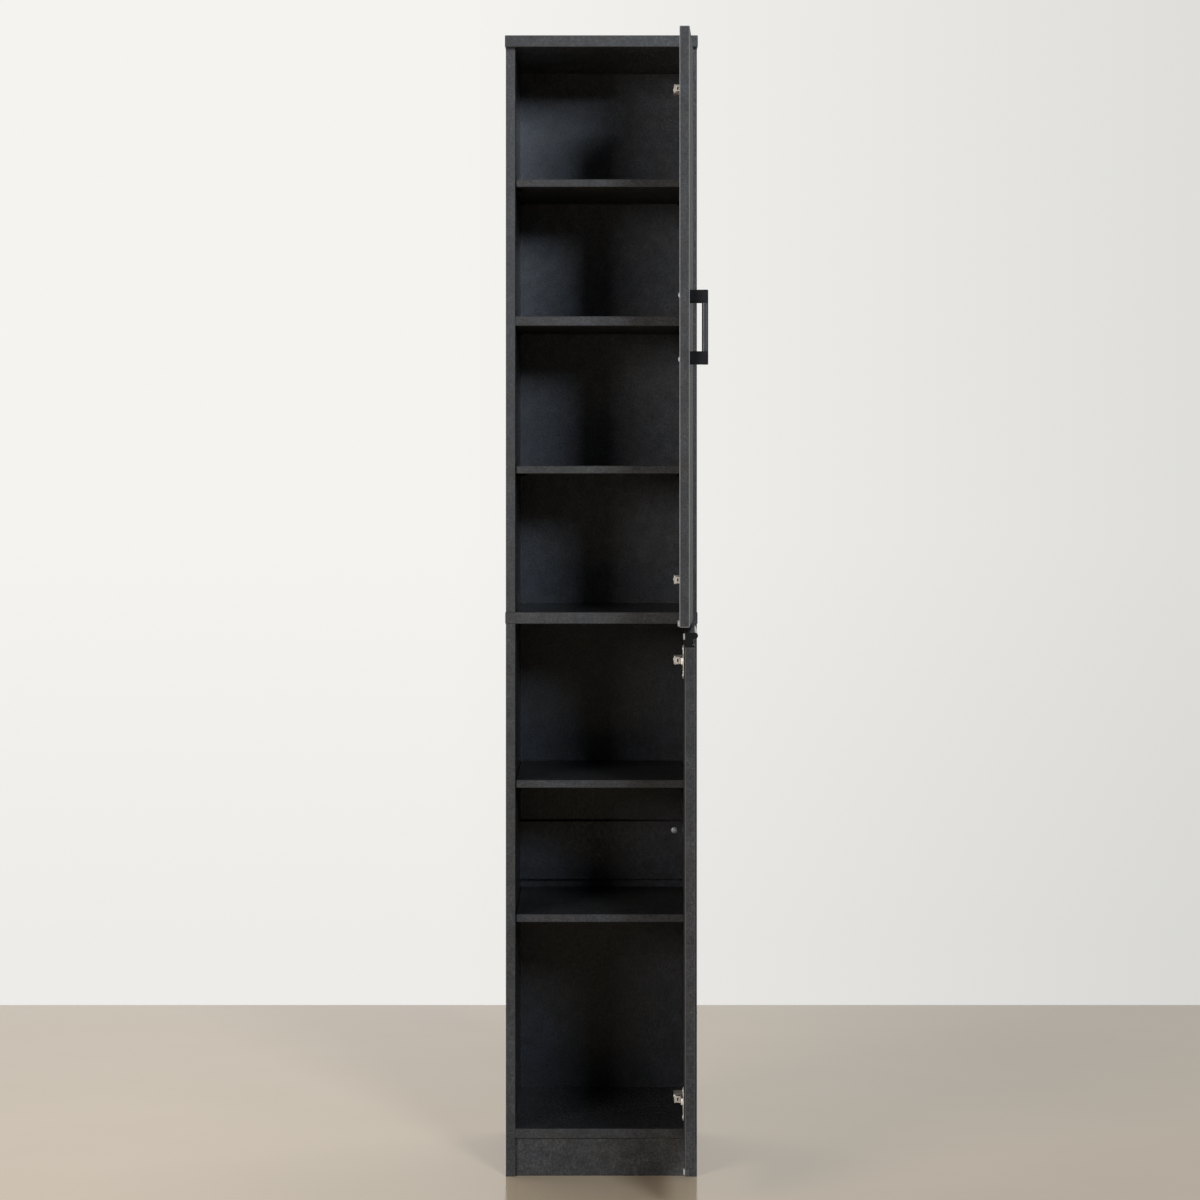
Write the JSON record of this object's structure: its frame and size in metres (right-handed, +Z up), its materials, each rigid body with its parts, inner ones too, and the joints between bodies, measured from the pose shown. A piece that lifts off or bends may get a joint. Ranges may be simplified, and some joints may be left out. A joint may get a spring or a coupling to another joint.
{
  "type": "pantry cabinet",
  "caption": "Tall narrow pantry cabinet of dark stone-look board: stacked sections with fixed and movable shelves and doors on concealed hinges, one with a bar handle, one with an edge pull",
  "frame": {"origin": "on the floor, at the middle of the plinth's bottom face", "axes": "X to the right as seen from the front, Y from the front to the back, Z up"},
  "size_m": [0.3106, 0.6822, 1.79],
  "materials": {
    "stone_board": "melamine-faced board with a dark stone print, matt",
    "back_board": "thin printed back panel, half gloss",
    "dowel_wood": "fluted beech dowels",
    "handle_black": "matt black powder coat",
    "pull_black": "matt black moulded profile",
    "pin_black": "black moulded shelf pins",
    "hinge_steel": "nickel-plated pressed steel",
    "screw_steel": "zinc-plated steel",
    "bumper": "clear grey soft plastic"
  },
  "bodies": {
    "carcass": {"back_rail": "stone_board", "bottom_board": "stone_board", "bottom_dowels": "dowel_wood", "fixed_shelf": "stone_board", "fixed_shelf_dowels": "dowel_wood", "lower_back": "back_board", "lower_high_hinge_arm": "hinge_steel", "lower_high_hinge_plate": "hinge_steel", "lower_high_shelf": "stone_board", "lower_left_side": "stone_board", "lower_low_hinge_arm": "hinge_steel", "lower_low_hinge_plate": "hinge_steel", "lower_low_shelf": "stone_board", "lower_plate_screws": "screw_steel", "lower_right_side": "stone_board", "lower_shelf_pins": "pin_black", "middle_board": "stone_board", "middle_dowels": "dowel_wood", "plinth": "stone_board", "plinth_dowels": "dowel_wood", "rail_dowels": "dowel_wood", "rail_screw": "screw_steel", "rail_washer": "screw_steel", "top_board": "stone_board", "top_dowels": "dowel_wood", "upper_back": "back_board", "upper_high_hinge_arm": "hinge_steel", "upper_high_hinge_plate": "hinge_steel", "upper_high_shelf": "stone_board", "upper_left_side": "stone_board", "upper_low_hinge_arm": "hinge_steel", "upper_low_hinge_plate": "hinge_steel", "upper_low_shelf": "stone_board", "upper_plate_screws": "screw_steel", "upper_right_side": "stone_board", "upper_shelf_pins": "pin_black"},
    "upper_door": {"upper_door": "stone_board", "door_handle": "handle_black", "handle_screws": "screw_steel", "upper_bumper": "bumper", "upper_low_hinge_cup": "hinge_steel", "upper_high_hinge_cup": "hinge_steel", "upper_low_hinge_pin": "hinge_steel", "upper_high_hinge_pin": "hinge_steel", "upper_cup_screws": "screw_steel"},
    "lower_door": {"lower_door": "stone_board", "lower_pull": "pull_black", "pull_end_caps": "pull_black", "pull_screws": "screw_steel", "lower_bumpers": "bumper", "lower_low_hinge_cup": "hinge_steel", "lower_high_hinge_cup": "hinge_steel", "lower_low_hinge_pin": "hinge_steel", "lower_high_hinge_pin": "hinge_steel", "lower_cup_screws": "screw_steel"}
  },
  "joints": [
    {"name": "upper_door_swing", "type": "hinge", "parent": "carcass", "child": "upper_door", "pos_m": [0.1389, -0.0267, 1.32], "axis": [0, 0, 1], "range_deg": [-87.45, 10.55]},
    {"name": "lower_door_swing", "type": "hinge", "parent": "carcass", "child": "lower_door", "pos_m": [0.1389, -0.0267, 0.46], "axis": [0, 0, 1], "range_deg": [-89.1, 8.9]}
  ]
}
